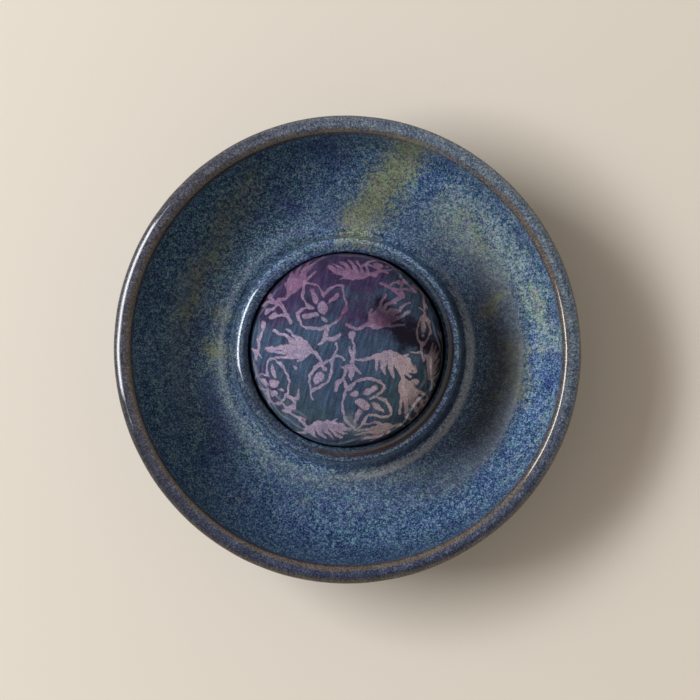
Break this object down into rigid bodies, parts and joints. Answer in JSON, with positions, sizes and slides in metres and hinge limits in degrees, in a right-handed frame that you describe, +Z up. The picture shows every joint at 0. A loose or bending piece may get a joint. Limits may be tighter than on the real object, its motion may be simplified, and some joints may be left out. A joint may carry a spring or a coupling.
{
  "type": "pincushion dish",
  "caption": "Round glazed stoneware dish with a trough for pins and notions round a central collar, and a domed batik pincushion that drops into the collar.",
  "frame": {"origin": "centre of the foot ring's resting plane", "axes": "+Z up along the axis the dish was thrown on; the dish is round, so X and Y are free, with +Y at the top of the picture"},
  "size_m": [0.13, 0.13, 0.0334],
  "materials": {
    "glazed_stoneware": "glossy speckled blue reaction glaze that breaks brown on edges, bare foot ring",
    "batik_cotton": "plain-weave cotton, wax-resist dyed slate blue, violet and pink",
    "fibre_fill": "loose white fibre",
    "greyboard": "matt grey-brown board",
    "sewing_thread": "doubled cotton thread"
  },
  "bodies": {
    "dish": {"stoneware_dish": "glazed_stoneware"},
    "cushion": {"cushion_cover": "batik_cotton", "cushion_stuffing": "fibre_fill", "cushion_base_card": "greyboard", "gathering_thread": "sewing_thread"}
  },
  "joints": [
    {"name": "cushion_lift", "type": "slide", "parent": "dish", "child": "cushion", "axis": [0, 0, 1], "range_m": [0, 0.03]}
  ]
}
